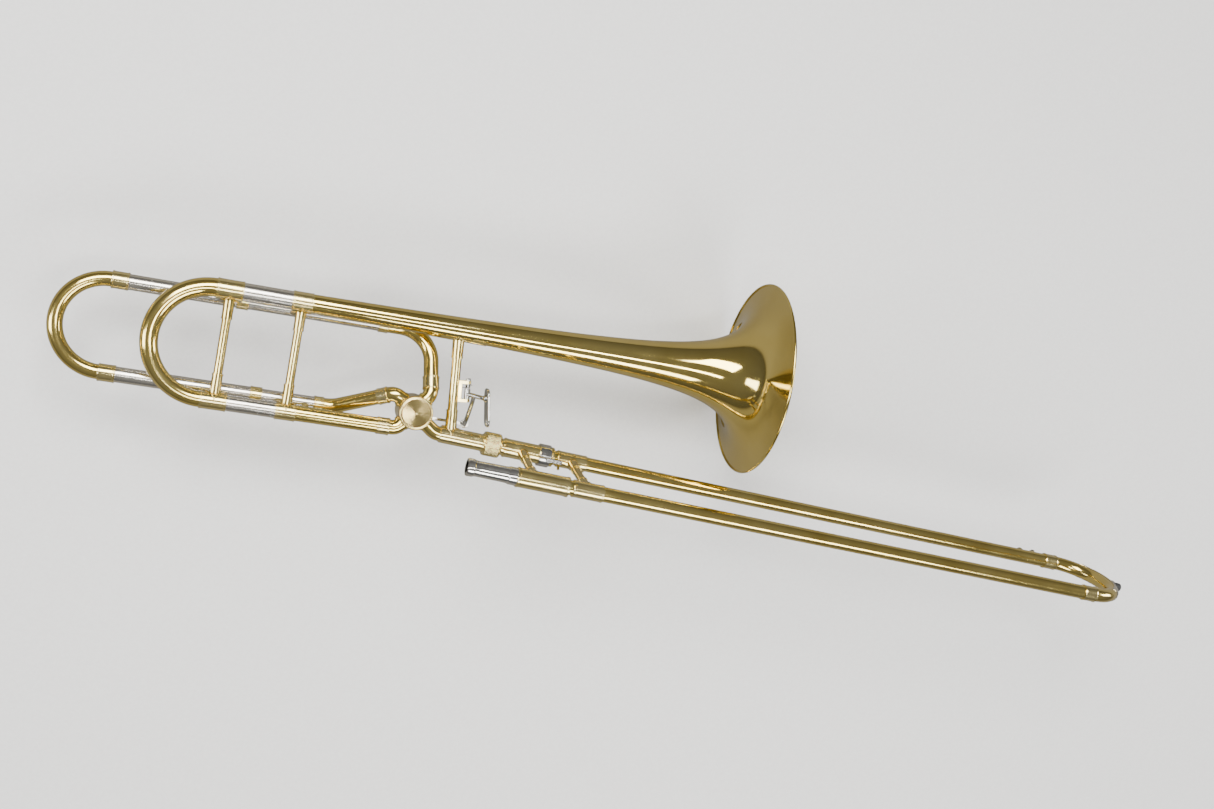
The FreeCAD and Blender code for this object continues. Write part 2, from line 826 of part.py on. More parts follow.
group(
    "valve_ferrules",
    ferrule_on("riser_ferrule", riser_corner, bend_corner, 6, "14"),
    ferrule_on("return_ferrule", across_corner, return_corner, 8.4, "11"),
)
inner_leg = "wrap_sleeve - tube_wall - slide_fit"
group(
    "wrap_sleeves",
    tube(
        "wrap_sleeve_up", "wrap_sleeve_upper", "wrap_sleeve", "wrap_sleeve - tube_wall",
        ("-wrap_mouth", wrap_upper, drop),
    ),
    tube(
        "wrap_sleeve_low", "wrap_sleeve_lower", "wrap_sleeve", "wrap_sleeve - tube_wall",
        ("-wrap_mouth", wrap_lower, drop),
    ),
)
upper_joint = "-wrap_mouth + wrap_sleeve_upper"
lower_joint = "-wrap_mouth + wrap_sleeve_lower"
group(
    "wrap_runs",
    tube(
        "wrap_run_upper", f"-riser_end - ({upper_joint}) - 0.1", "wrap_tube", "wrap_tube - tube_wall",
        (upper_joint, wrap_upper, drop),
    ),
    tube(
        "wrap_run_lower", f"-bend_end - ({lower_joint}) - 0.1", "wrap_tube", "wrap_tube - tube_wall",
        (lower_joint, wrap_lower, drop),
    ),
)
group(
    "wrap_rings",
    *[
        ring(
            f"wrap_ring_{i}", long, f"{inside} + solder", "ferrule_wall",
            (f"{place} - ({long}) / 2", side, drop),
        )
        for i, (place, side, long, inside) in enumerate(
            (
                (upper_joint, wrap_upper, "12", "wrap_sleeve"),
                (lower_joint, wrap_lower, "12", "wrap_sleeve"),
                ("-riser_end - 5.2", wrap_upper, "10", "knuckle"),
                ("-bend_end - 5.2", wrap_lower, "10", "knuckle"),
            )
        )
    ],
)

half_bow(
    "wrap_bow", "wrap_gap / 2", "wrap_tube", "wrap_tube", "tube_wall",
    ("-wrap_bow_centre", "-wrap_top - wrap_gap / 2", drop), TO_X,
)
wrap_leg_length = "wrap_bow_centre - wrap_mouth + wrap_leg"
inner_leg_bore = f"{inner_leg} - tube_wall"
group(
    "wrap_bow_legs",
    *[
        tube(f"wrap_leg_{i}", wrap_leg_length, inner_leg, inner_leg_bore, ("-wrap_bow_centre", side, drop))
        for i, side in enumerate((wrap_upper, wrap_lower))
    ],
)
group(
    "wrap_bow_ferrules",
    *[
        ring(
            f"wrap_bow_ferrule_{i}", "wrap_bow_centre - wrap_mouth - 0.3", f"{inner_leg} + solder",
            "ferrule_wall + tube_wall + slide_fit", ("-wrap_bow_centre", side, drop),
        )
        for i, side in enumerate((wrap_upper, wrap_lower))
    ],
)


def stay(label, first, last, first_radius, last_radius):
    """A short strut with flared feet between two tubes that run along X."""
    start, end = point(first), point(last)
    turn = Rotation(Vector(1, 0, 0), end - start)
    reach = f"{(end - start).Length:.4f}"
    rod = cylinder(label + "_rod", "2.2", reach, first, turn)
    near = cone(label + "_near", "6", "2.2", f"{first_radius} + 4", first, turn)
    far = cone(label + "_far", "6", "2.2", f"{last_radius} + 4", last, turn * Rotation(Vector(0, 0, 1), 180))
    whole = fuse(label + "_whole", rod, near, far)
    tubes = fuse(
        label + "_tubes",
        cylinder(label + "_first", first_radius, "60", shifted(first, (1, 0, 0), "-30"), ALONG_X),
        cylinder(label + "_last", last_radius, "60", shifted(last, (1, 0, 0), "-30"), ALONG_X),
    )
    return cut(label, whole, tubes)


group(
    "wrap_stays",
    stay(
        "wrap_stay_upper", ("-484", "0", "0"), ("-484", wrap_upper, drop),
        "10.25", "wrap_tube + solder",
    ),
    stay(
        "wrap_stay_lower", ("-484", "-leg_gap", "0"), ("-484", wrap_lower, drop),
        "small_tube + solder", "wrap_tube + solder",
    ),
)

# ---------------------------------------------------------------------------------------------
# Thumb lever: bracket, hinge, lever and link
# ---------------------------------------------------------------------------------------------

plate = box("bracket_plate", "3.2", "22.4", "8", by_brace("4", "-11.2", "-4"), TO_BRACE)
ears = []
for i, side in enumerate(("-11.2", "8.2")):
    root = by_brace("4", side, "hinge_up - 3.2")
    arm = box(f"bracket_arm_{i}", "hinge_out - 4", "3", "6.4", root, TO_BRACE)
    boss = cylinder(f"bracket_boss_{i}", "3.2", "3", by_brace("hinge_out", side, "hinge_up"), brace_turn)
    ears += [arm, boss]
hinge_hole = cylinder("bracket_hole", "1.5", "40", by_brace("hinge_out", "-20", "hinge_up"), brace_turn)
rod_room = cylinder("bracket_rod_room", "grip_rod + solder", "40", by_brace("0", "-20", "0"), brace_turn)
cut("lever_bracket", fuse("bracket_whole", plate, *ears), fuse("bracket_holes", hinge_hole, rod_room))

pin_profile = [
    ("-11.6", "0"),
    ("13.2", "0"),
    ("13.2", "1.7"),
    ("12.7", "2.6"),
    ("11.3", "2.6"),
    ("11.3", "1.46"),
    ("-11.6", "1.46"),
]
turned("hinge_screw", pin_profile, by_brace("hinge_out", "0", "hinge_up"), brace_turn)


def make_lever():
    """Thumb lever: hinge barrel, an arm out to the thumb plate, and a lower arm that ends in a ball."""
    out, up, line = SIZES["hinge_out"], SIZES["hinge_up"], SIZES["ball_line"]
    rest, radius = SIZES["link_half"], SIZES["lever_radius"]
    barrel = Part.makeCylinder(3, 10.6, Vector(out, -7.8, up), Vector(0, 1, 0))
    strap_points = [Vector(out + 0.5, -3, up + 1), Vector(out + 9, -4, up + 7), Vector(33, -5, 14)]
    strap = solid_rod(smooth(strap_points, (1, 0, 1), (1, 0, 0.2)), 2.4)
    pad = Part.makeSphere(4.4, Vector(33, -5, 14))
    plate = Part.makeBox(2.6, 41, 22, Vector(-1.3, -20.5, -11))
    corners = [edge for edge in plate.Edges if abs(edge.tangentAt(edge.FirstParameter).x) > 0.9]
    plate = plate.makeFillet(8, corners)
    plate = plate.makeFillet(1.1, plate.Edges)
    plate.Placement = Placement(Vector(34, -14.5, 16), Rotation(Vector(0, 0, 1), 4.5))
    pad = pad.common(Part.makeBox(10, 20, 20, Vector(23, -15, 4)))
    ball = Vector(out + rest, -line, up - math.sqrt(radius**2 - rest**2))
    tilt = math.asin(rest / radius)
    upward = Vector(-math.sin(tilt), 0, math.cos(tilt))
    arm_start = Vector(out + 6, -4, up + 6)
    arm_points = [arm_start, Vector(out + 6.6, -17, -6), ball + upward * 4.4]
    arm = solid_rod(smooth(arm_points, (0.2, -0.5, -1), upward * -1), 2.3)
    neck = Part.makeCylinder(1.4, 6, ball, upward)
    elbow, joint_ball = Part.makeSphere(2.3, arm_start), Part.makeSphere(2, ball)
    whole = barrel.fuse([strap, pad, plate, elbow, arm, neck, joint_ball])
    whole = whole.cut(Part.makeCylinder(1.5, 30, Vector(out, -15, up), Vector(0, 1, 0)))
    lever = feature("thumb_lever", whole)
    lever.Placement = Placement(Vector(-SIZES["grip_back"], -SIZES["grip_side"], 0), TO_BRACE)


make_lever()
spring_profile = [("3.2", "1.75"), ("7.8", "1.75"), ("7.8", "2.7"), ("3.2", "2.7")]
turned("lever_spring", spring_profile, by_brace("hinge_out", "0", "hinge_up"), brace_turn)

valve_out = "((grip_back - valve_back) * cos(lean) + (grip_side - valve_side) * sin(lean))"
near_eye = by_brace(f"{valve_out} + link_half", "-link_line", "-link_level")
far_eye = by_brace("hinge_out + link_half", "-ball_line", "-link_level")
link_way = point(far_eye) - point(near_eye)
link_turn = Rotation(Vector(1, 0, 0), link_way)
link_corner = placed(near_eye, link_turn, ("0", "-1.5", "-1.2"))
link_bar = box("link_bar", f"{link_way.Length:.4f}", "3", "2.4", link_corner, link_turn)
link_eyes = []
for name, place, outer, hole in (("stop", near_eye, "4.8", "3.1"), ("lever", far_eye, "4.4", "2.1")):
    disc = cylinder(f"link_{name}_eye", outer, "3", shifted(place, (0, 0, 1), "-1.5"), TO_Z)
    room = cylinder(f"link_{name}_hole", hole, "9", shifted(place, (0, 0, 1), "-4"), TO_Z)
    link_eyes.append((disc, room))
link_whole = fuse("link_whole", link_bar, *[disc for disc, room in link_eyes])
cut("link_rod", link_whole, fuse("link_holes", *[room for disc, room in link_eyes]))

# ---------------------------------------------------------------------------------------------
# Inner slide
# ---------------------------------------------------------------------------------------------

LEVELS = ("0", "slide_gap")
SIDES = ("lower", "upper")

tenon_profile = [
    ("-45", "7"),
    ("9.9", "7"),
    ("9.9", "9"),
    ("-0.05", "9"),
    ("-0.05", "9.8"),
    ("-0.5", "9.8"),
    ("-0.5", "socket_radius - 0.06"),
    ("-45", "socket_radius - 0.06"),
]
turned("slide_tenon", tenon_profile, on_slide("0"), TO_SLIDE)

barrel_profile = [
    ("10", "inner_radius + solder"),
    ("14", "inner_radius + solder"),
    ("14", "barrel_bore"),
    ("barrel_end", "barrel_bore"),
    ("barrel_end", "barrel_radius + 0.5"),
    ("barrel_end - 2", "barrel_radius + 0.5"),
    ("barrel_end - 2.6", "barrel_radius"),
    ("13", "barrel_radius"),
    ("12.4", "barrel_radius + 0.5"),
    ("10.8", "barrel_radius + 0.5"),
    ("10", "barrel_radius - 0.3"),
]
group(
    "cork_barrels",
    *[
        turned(f"cork_barrel_{side}", barrel_profile, on_slide("0", up), TO_SLIDE)
        for side, up in zip(SIDES, LEVELS)
    ],
)
tube_profile = [
    ("10.2", "bore_radius"),
    ("inner_end", "bore_radius"),
    ("inner_end", "stocking_radius"),
    ("inner_end - 130", "stocking_radius"),
    ("inner_end - 131", "inner_radius"),
    ("10.2", "inner_radius"),
]
group(
    "inner_tubes",
    *[
        turned(f"inner_tube_{side}", tube_profile, on_slide("0", up), TO_SLIDE)
        for side, up in zip(SIDES, LEVELS)
    ],
)
cork_profile = [
    ("34", "inner_radius + 0.1"),
    ("outer_start - 0.3", "inner_radius + 0.1"),
    ("outer_start - 0.3", "barrel_bore - 0.1"),
    ("34", "barrel_bore - 0.1"),
]
group(
    "slide_corks",
    *[
        turned(f"slide_cork_{side}", cork_profile, on_slide("0", up), TO_SLIDE)
        for side, up in zip(SIDES, LEVELS)
    ],
)
slide_up = TO_SLIDE * TO_Z
brace("slide_hand_brace", on_slide("hand_brace"), slide_up, "slide_gap", "barrel_radius + solder",
      "barrel_radius + solder", TO_SLIDE)

shank_profile = [
    ("mouth_start", "mouth_radius"),
    ("-12", "mouth_radius"),
    ("-12", "bore_radius"),
    ("9.9", "bore_radius"),
    ("9.9", "9.4"),
    ("2", "9.4"),
    ("1", "8.6"),
    ("-30", "8.2"),
    ("-34", "8.4"),
    ("-35", "9.2"),
    ("mouth_start + 1", "9.4"),
    ("mouth_start", "8.8"),
]
turned("mouthpiece_receiver", shank_profile, on_slide("0", "slide_gap"), TO_SLIDE)
leadpipe_profile = [
    ("-11.8", "6.1"),
    ("40", "5.9"),
    ("200", "6.7"),
    ("200", "bore_radius - 0.05"),
    ("-11.8", "bore_radius - 0.05"),
]
turned("leadpipe", leadpipe_profile, on_slide("0", "slide_gap"), TO_SLIDE)

lock_profile = [
    ("50", "barrel_radius + 0.08"),
    ("62", "barrel_radius + 0.08"),
    ("62", "12.3"),
    ("50", "12.3"),
]
lock_band = turned("lock_band", lock_profile, on_slide("0"), TO_SLIDE)
lock_finger = box("lock_finger", "18", "3.6", "2.2", on_slide("57", "11.6", "-1.8"), TO_SLIDE)
fuse("slide_lock", lock_band, lock_finger)

# ---------------------------------------------------------------------------------------------
# Outer slide
# ---------------------------------------------------------------------------------------------

group(
    "outer_tubes",
    *[
        tube(f"outer_tube_{side}", "outer_end - outer_start", "outer_radius", "outer_bore",
             on_slide("outer_start", up), TO_SLIDE)
        for side, up in zip(SIDES, LEVELS)
    ],
)
post_lean = TO_SLIDE * Rotation(Vector(1, 0, 0), 40) * TO_Z
post_foot = shifted(on_slide("73.4"), post_lean.multVec(Vector(1, 0, 0)), "outer_radius + 0.4")
lock_post = cut(
    "lock_post",
    cylinder("lock_post_blank", "1.5", "5.4", post_foot, post_lean),
    cylinder("lock_post_seat", "outer_radius + 1.45", "30", on_slide("60"), TO_SLIDE),
)
group(
    "handle_ferrules",
    *[
        ring(f"handle_ferrule_{side}", "33", "outer_radius + solder", "1", on_slide("71", up), TO_SLIDE)
        for side, up in zip(SIDES, LEVELS)
    ],
    lock_post,
)
brace("outer_slide_brace", on_slide("slide_brace"), slide_up, "slide_gap", "outer_radius + 1.45",
      "outer_radius + 1.45", TO_SLIDE)

CROOK = TO_SLIDE * Rotation(Vector(1, 0, 0), 90) * Rotation(Vector(0, 0, 1), 180)
crook_centre = on_slide("outer_end + 0.1", "slide_gap / 2")
half_bow("slide_crook", "slide_gap / 2", "outer_radius", "outer_radius", "0.5", crook_centre, CROOK)
group(
    "crook_ferrules",
    *[
        ring(
            f"crook_ferrule_{side}", "17", "outer_radius + solder", "0.8",
            on_slide("outer_end - 16", up), TO_SLIDE,
        )
        for side, up in zip(SIDES, LEVELS)
    ],
)
guard_shell = half_bow("guard_shell", "slide_gap / 2", "outer_radius + 0.85", "outer_radius + 0.85", "0.8",
                       crook_centre, CROOK)
guard_corner = on_slide("outer_end + 22", "slide_gap / 2 - 35", "-20")
guard_end = box("guard_end", "60", "40", "70", guard_corner, TO_SLIDE)
guard_room = cylinder("guard_room", "slide_gap / 2 + 1", "40",
                      on_slide("outer_end", "slide_gap / 2", "-20"), TO_SLIDE * TO_Y)
guard = cut("guard_strip", common("guard_half", guard_shell, guard_end), guard_room)
seat_profile = [
    ("outer_end + 50", "0"),
    ("outer_end + 57.2", "0"),
    ("outer_end + 57.2", "5.6"),
    ("outer_end + 55.5", "6.8"),
    ("outer_end + 50", "6.8"),
]
crook_tyre = doc.addObject("Part::Torus", "crook_tyre")
bind(crook_tyre, Radius1="slide_gap / 2", Radius2="outer_radius + 0.9")
put(crook_tyre, crook_centre, TO_SLIDE * Rotation(Vector(1, 0, 0), 90))
seat_blank = turned("bumper_seat_blank", seat_profile, on_slide("0", "slide_gap / 2"), TO_SLIDE)
group("bow_guard", guard, cut("bumper_seat", seat_blank, crook_tyre))
bumper_profile = [
    ("outer_end + 57.25", "0"),
    ("outer_end + 67", "0"),
    ("outer_end + 67", "3.4"),
    ("outer_end + 65.8", "4.8"),
    ("outer_end + 57.25", "5.4"),
]
turned("slide_bumper", bumper_profile, on_slide("0", "slide_gap / 2"), TO_SLIDE)

# ---------------------------------------------------------------------------------------------
# Water key under the crook
# ---------------------------------------------------------------------------------------------

KEY_LEVEL = "-12.6"
across = TO_SLIDE * TO_Y
key_wrap = cylinder("key_wrap", "outer_radius + 0.9", "15", on_slide("key_pivot - 17"), TO_SLIDE)
key_ears = [
    box(f"key_ear_{i}", "6", "1.2", "9", on_slide("key_pivot - 12", "-14.6", side), TO_SLIDE)
    for i, side in enumerate(("-5", "3.8"))
]
key_under = box("key_under", "30", "13", "20", on_slide("key_pivot - 24", "-24", "-6.5"), TO_SLIDE)
key_body = common("key_body", fuse("key_blank", key_wrap, *key_ears), key_under)
key_tube = cylinder("key_tube", "outer_radius + solder", "40", on_slide("key_pivot - 30"), TO_SLIDE)
key_axis_hole = cylinder("key_axis_hole", "1.15", "20", on_slide("key_pivot - 9", KEY_LEVEL, "-10"), across)
key_saddle = cut("key_saddle_whole", key_body, fuse("key_holes", key_tube, key_axis_hole))
nipple_blank = tube("nipple_blank", "3.8", "3.6", "2", on_slide("key_nipple", "-10.6"), TO_SLIDE * TO_Z)
crook_room = doc.addObject("Part::Torus", "crook_room")
bind(crook_room, Radius1="slide_gap / 2", Radius2="outer_radius + solder")
put(crook_room, crook_centre, TO_SLIDE * Rotation(Vector(1, 0, 0), 90))
group("key_saddle", key_saddle, cut("key_nipple_tube", nipple_blank, crook_room))
key_pin_profile = [
    ("-5.4", "0"),
    ("5.9", "0"),
    ("5.9", "1.4"),
    ("5.6", "2"),
    ("5.1", "2"),
    ("5.1", "1.1"),
    ("-5.4", "1.1"),
]
turned("key_pin", key_pin_profile, on_slide("key_pivot - 9", KEY_LEVEL), across)
key_spring_profile = [("1.9", "1.3"), ("3.6", "1.3"), ("3.6", "2.1"), ("1.9", "2.1")]
key_axis = on_slide("key_pivot - 9", KEY_LEVEL)
group(
    "key_spring",
    turned("key_spring_left", key_spring_profile, key_axis, across),
    turned("key_spring_right", key_spring_profile, key_axis, TO_SLIDE * TO_MINUS_Y),
)
key_barrel = cylinder("key_barrel", "2.4", "3.4", on_slide("key_pivot - 9", KEY_LEVEL, "-1.7"), across)
key_arm = box("key_arm", "key_nipple - key_pivot + 12", "3", "1.8",
              on_slide("key_pivot - 10", "-14.9", "-1.5"), TO_SLIDE)
key_cup = cylinder("key_cup", "4.7", "2.2", on_slide("key_nipple", "-14.8"), TO_SLIDE * TO_Z)
key_tail = box("key_tail", "16", "3", "1.8", on_slide("key_pivot - 25", "-16", "-1.5"), TO_SLIDE)
key_touch = cylinder("key_touch", "5.2", "1.6", on_slide("key_pivot - 25", "-16.4"), TO_SLIDE * TO_Z)
key_whole = fuse("key_whole", key_barrel, key_arm, key_cup, key_tail, key_touch)
key_bore = cylinder("key_bore", "1.15", "20", on_slide("key_pivot - 9", KEY_LEVEL, "-10"), across)
cut("water_key", key_whole, key_bore)
cylinder("key_cork", "3.9", "1.85", on_slide("key_nipple", "-12.55"), TO_SLIDE * TO_Z)

# ---------------------------------------------------------------------------------------------
# Check every piece and write it
# ---------------------------------------------------------------------------------------------

doc.recompute()
for thing in doc.Objects:
    if "Invalid" in thing.State or "Error" in thing.State:
        raise RuntimeError(f"{thing.Label} failed: {thing.State}")

nodes = [thing for thing in doc.Objects if not thing.InList and hasattr(thing, "Shape")]
os.makedirs("parts", exist_ok=True)
for thing in nodes:
    shape = thing.Shape
    if shape.isNull() or not shape.isValid() or not shape.Solids:
        raise RuntimeError(f"{thing.Label} has no sound solid")
    shape.exportStep(f"parts/{thing.Label}.step")
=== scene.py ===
"""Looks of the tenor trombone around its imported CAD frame. Metres, same axes as the CAD."""
import json
import math

import bpy
from mathutils import Matrix, Vector


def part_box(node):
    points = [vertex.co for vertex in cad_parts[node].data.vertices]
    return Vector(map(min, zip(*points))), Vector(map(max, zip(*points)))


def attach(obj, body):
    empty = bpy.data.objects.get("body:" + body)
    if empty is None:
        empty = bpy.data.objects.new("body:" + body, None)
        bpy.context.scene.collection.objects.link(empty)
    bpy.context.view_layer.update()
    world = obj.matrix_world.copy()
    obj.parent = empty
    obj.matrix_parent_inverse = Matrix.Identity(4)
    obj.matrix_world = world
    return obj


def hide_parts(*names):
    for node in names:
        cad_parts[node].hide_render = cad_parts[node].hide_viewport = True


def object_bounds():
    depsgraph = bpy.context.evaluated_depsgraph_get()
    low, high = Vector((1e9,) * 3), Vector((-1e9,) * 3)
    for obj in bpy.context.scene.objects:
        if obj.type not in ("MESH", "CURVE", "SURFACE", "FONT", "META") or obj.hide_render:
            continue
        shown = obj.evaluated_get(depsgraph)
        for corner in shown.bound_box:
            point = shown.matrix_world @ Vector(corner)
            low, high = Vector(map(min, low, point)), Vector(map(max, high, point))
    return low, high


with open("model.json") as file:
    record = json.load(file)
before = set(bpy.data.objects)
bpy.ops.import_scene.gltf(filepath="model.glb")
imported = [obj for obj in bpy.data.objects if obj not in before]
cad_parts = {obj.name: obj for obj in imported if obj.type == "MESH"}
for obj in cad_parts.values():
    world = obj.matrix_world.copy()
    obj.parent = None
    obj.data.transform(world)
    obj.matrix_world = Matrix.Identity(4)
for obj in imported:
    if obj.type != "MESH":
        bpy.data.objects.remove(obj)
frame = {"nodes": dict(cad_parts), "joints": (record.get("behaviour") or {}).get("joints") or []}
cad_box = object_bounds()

NODES = frame["nodes"]
MM = 0.001  # metres in a millimetre
PER_METRE = 1000  # millimetres in a metre


# ------------------------------------------------------------------------------------------
# Frames of reference, taken from the record's joints
# ------------------------------------------------------------------------------------------

JOINTS = {joint["name"]: joint for joint in frame["joints"]}
SLIDE_AXIS = Vector(JOINTS["hand_slide"]["axis"]).normalized()
SLIDE_FOOT = Vector(JOINTS["nut_turn"]["pos_m"])
VALVE_AXIS = Vector(JOINTS["rotor_turn"]["pos_m"])
HINGE_FOOT = Vector(JOINTS["thumb_press"]["pos_m"])
HINGE_AXIS = Vector(JOINTS["thumb_press"]["axis"]).normalized()
KEY_FOOT = Vector(JOINTS["water_key_press"]["pos_m"])
KEY_AXIS = Vector(JOINTS["water_key_press"]["axis"]).normalized()


def basis(origin, axis, up=Vector((0, 0, 1))):
    """A frame at origin whose X runs along axis and whose Z is as near up as it can be."""
    x = Vector(axis).normalized()
    y = Vector(up).cross(x)
    if y.length < 1e-6:
        y = Vector((0, 1, 0)).cross(x)
    y.normalize()
    z = x.cross(y)
    turn = Matrix((x, y, z)).transposed().to_4x4()
    return Matrix.Translation(origin) @ turn


# ------------------------------------------------------------------------------------------
# Node materials
# ------------------------------------------------------------------------------------------


class Nodes:
    """A short way to build a node tree."""

    def __init__(self, name):
        self.material = bpy.data.materials.new(name)
        self.material.use_nodes = True
        self.tree = self.material.node_tree
        self.tree.nodes.clear()
        self.shader = self.add("ShaderNodeBsdfPrincipled")
        self.output = self.add("ShaderNodeOutputMaterial")
        self.join(self.shader, 0, self.output, "Surface")
        self.where = self.add("ShaderNodeTexCoord")

    def add(self, kind, **values):
        node = self.tree.nodes.new(kind)
        for key, value in values.items():
            setattr(node, key, value)
        return node

    def join(self, source, out, target, into):
        self.tree.links.new(source.outputs[out], target.inputs[into])

    def value(self, node, **inputs):
        for key, value in inputs.items():
            node.inputs[key.replace("_", " ")].default_value = value
        return node

    def mapping(self, scale=(1, 1, 1), turn=(0, 0, 0)):
        node = self.add("ShaderNodeMapping")
        node.inputs["Scale"].default_value = scale
        node.inputs["Rotation"].default_value = turn
        self.join(self.where, "Object", node, "Vector")
        return node

    def noise(self, scale, detail=3, mapping=None, rough=0.5):
        node = self.add("ShaderNodeTexNoise")
        node.inputs["Scale"].default_value = scale
        node.inputs["Detail"].default_value = detail
        node.inputs["Roughness"].default_value = rough
        self.join(mapping or self.where, 0 if mapping else "Object", node, "Vector")
        return node

    def ramp(self, source, stops, out="Fac"):
        node = self.add("ShaderNodeValToRGB")
        ramp = node.color_ramp
        ramp.elements[0].position, ramp.elements[0].color = stops[0][0], (*stops[0][1], 1)
        ramp.elements[1].position, ramp.elements[1].color = stops[-1][0], (*stops[-1][1], 1)
        for place, color in stops[1:-1]:
            ramp.elements.new(place).color = (*color, 1)
        self.join(source, out, node, "Fac")
        return node

    def spread(self, source, low, high, out="Fac", first=0.3, last=0.7):
        node = self.add("ShaderNodeMapRange")
        node.inputs["From Min"].default_value = first
        node.inputs["From Max"].default_value = last
        node.inputs["To Min"].default_value = low
        node.inputs["To Max"].default_value = high
        self.join(source, out, node, "Value")
        return node

    def bump(self, heights, distance=0.0001, strength=0.3):
        """Bumps one on the next, from (node, output, strength) of each height."""
        last = None
        for source, out, power in heights:
            node = self.add("ShaderNodeBump")
            node.inputs["Strength"].default_value = power * strength
            node.inputs["Distance"].default_value = distance
            self.join(source, out, node, "Height")
            if last:
                self.join(last, 0, node, "Normal")
            last = node
        self.join(last, 0, self.shader, "Normal")
        return last


def lacquered(name, color, deep, rough=(0.09, 0.19), coat=0.35, wear=0.5):
    """Polished brass under clear lacquer: warm drift in colour, faint handling haze and tiny pits."""
    n = Nodes(name)
    broad = n.noise(14, 4)
    haze = n.noise(55, 6, rough=0.65)
    spots = n.noise(420, 3)
    tint = n.ramp(broad, [(0.32, deep), (0.62, color)])
    worn = n.ramp(spots, [(0.66, (1, 1, 1)), (0.78, (1 - 0.35 * wear,) * 3)])
    mix = n.add("ShaderNodeMix", data_type="RGBA", blend_type="MULTIPLY")
    mix.inputs[0].default_value = 0.6
    n.join(tint, 0, mix, 6)
    n.join(worn, 0, mix, 7)
    n.join(mix, 2, n.shader, "Base Color")
    n.join(n.spread(haze, *rough), 0, n.shader, "Roughness")
    n.value(n.shader, Metallic=1.0, Coat_Weight=coat, Coat_Roughness=0.06, Coat_IOR=1.48)
    n.bump([(haze, "Fac", 0.22), (spots, "Fac", 0.12)], distance=0.00008)
    return n.material


def drawn(name, color, deep, rough=(0.14, 0.27), axis=0):
    """Drawn and buffed white metal with faint lines along the tube."""
    n = Nodes(name)
    scale = [900, 900, 900]
    scale[axis] = 12
    lines = n.noise(1, 4, n.mapping(tuple(scale)))
    cloud = n.noise(26, 5)
    spots = n.noise(300, 2)
    tint = n.ramp(cloud, [(0.3, deep), (0.65, color)])
    n.join(tint, 0, n.shader, "Base Color")
    add = n.add("ShaderNodeMath", operation="ADD")
    n.join(n.spread(lines, rough[0], rough[1]), 0, add, 0)
    n.join(n.spread(spots, 0.0, 0.06, first=0.55, last=0.75), 0, add, 1)
    n.join(add, 0, n.shader, "Roughness")
    n.value(n.shader, Metallic=1.0, Anisotropic=0.35)
    n.bump([(lines, "Fac", 0.35), (cloud, "Fac", 0.1)], distance=0.00005)
    return n.material


def turned(name, color, deep, origin, rough=(0.16, 0.3), rings=5200):
    """Metal faced on a lathe: fine rings round the vertical through origin, stretched highlights."""
    n = Nodes(name)
    shift = n.add("ShaderNodeMapping")
    shift.inputs["Location"].default_value = (-origin[0], -origin[1], 0)
    n.join(n.where, "Object", shift, "Vector")
    flat = n.add("ShaderNodeVectorMath", operation="MULTIPLY")
    flat.inputs[1].default_value = (1, 1, 0)
    n.join(shift, 0, flat, 0)
    reach = n.add("ShaderNodeVectorMath", operation="LENGTH")
    n.join(flat, 0, reach, 0)
    many = n.add("ShaderNodeMath", operation="MULTIPLY")
    many.inputs[1].default_value = rings
    n.join(reach, "Value", many, 0)
    ring = n.add("ShaderNodeTexNoise", noise_dimensions="1D")
    ring.inputs["Scale"].default_value = 1.0
    ring.inputs["Detail"].default_value = 2
    n.join(many, 0, ring, "W")
    cloud = n.noise(60, 4)
    n.join(n.ramp(ring, [(0.3, deep), (0.7, color)]), 0, n.shader, "Base Color")
    n.join(n.spread(cloud, *rough), 0, n.shader, "Roughness")
    tangent = n.add("ShaderNodeTangent", direction_type="RADIAL", axis="Z")
    n.join(tangent, 0, n.shader, "Tangent")
    n.value(n.shader, Metallic=1.0, Anisotropic=0.95, Coat_Weight=0.12, Coat_Roughness=0.08)
    n.bump([(ring, "Fac", 0.8)], distance=0.00004)
    return n.material


def plated(name, color, rough=(0.1, 0.22)):
    """Plated small parts: nearly mirror, with wiped smears and hairline scratches."""
    n = Nodes(name)
    cloud = n.noise(90, 5)
    hair = n.noise(1, 3, n.mapping((500, 120, 1600), (0.4, 0.3, 0.7)))
    n.join(n.ramp(cloud, [(0.3, tuple(c * 0.8 for c in color)), (0.6, color)]), 0, n.shader, "Base Color")
    n.join(n.spread(hair, *rough), 0, n.shader, "Roughness")
    n.value(n.shader, Metallic=1.0)
    n.bump([(hair, "Fac", 0.3), (cloud, "Fac", 0.1)], distance=0.00005)
    return n.material


def matte(name, color, deep, rough, grain, depth=0.0002, fuzz=0.0):
    """Rubber, felt or cork."""
    n = Nodes(name)
    fine = n.noise(grain, 5, rough=0.7)
    broad = n.noise(grain / 8, 3)
    n.join(n.ramp(fine, [(0.35, deep), (0.65, color)]), 0, n.shader, "Base Color")
    n.join(n.spread(broad, rough - 0.08, rough + 0.08), 0, n.shader, "Roughness")
    n.value(n.shader, Sheen_Weight=fuzz)
    n.bump([(fine, "Fac", 1.0), (broad, "Fac", 0.4)], distance=depth, strength=0.6)
    return n.material


BRASS = (0.88, 0.70, 0.24)
BRASS_DEEP = (0.76, 0.57, 0.15)
SILVER = (0.80, 0.76, 0.69)
SILVER_DEEP = (0.66, 0.62, 0.55)

